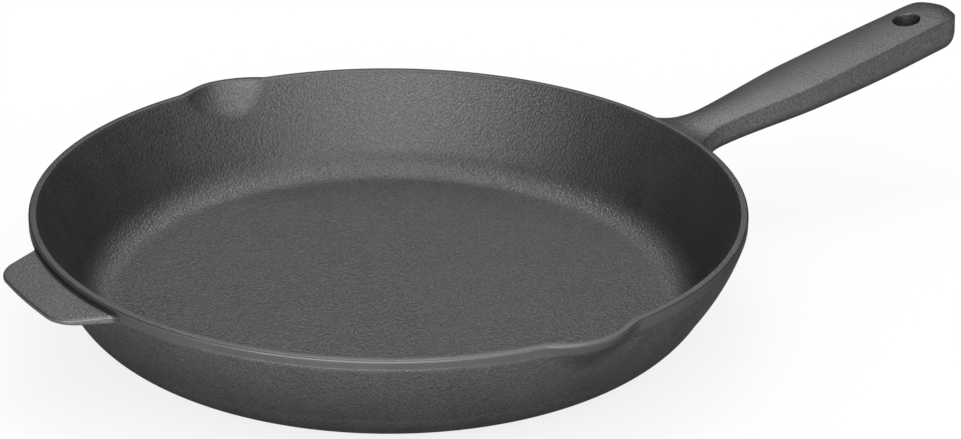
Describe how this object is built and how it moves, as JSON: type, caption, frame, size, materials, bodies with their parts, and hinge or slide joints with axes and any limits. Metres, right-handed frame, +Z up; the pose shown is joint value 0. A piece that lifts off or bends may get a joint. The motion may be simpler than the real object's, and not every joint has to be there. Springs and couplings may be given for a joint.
{
  "type": "frying pan",
  "caption": "Cast-iron skillet with sloped wall, upright lip band, side pour spouts, a rising long handle with a hanging hole, and a flat grip tab opposite.",
  "frame": {"origin": "centre of the flat underside of the base, the point that the pan stands on", "axes": "+X from the middle of the base along the long handle, +Y towards one of the pour spouts, +Z up out of the bowl"},
  "size_m": [0.4766, 0.3116, 0.0757],
  "materials": {
    "bowl_iron": "matt dark grey cast iron with a fine sand-cast grain, smoother on the lip",
    "handle_iron": "matt dark grey cast iron, fine grain on top and coarser on the sides",
    "tab_iron": "matt dark grey cast iron with a fine grain"
  },
  "bodies": {
    "root": {"pan_body": "bowl_iron", "long_handle": "handle_iron", "helper_handle": "tab_iron"}
  },
  "joints": []
}
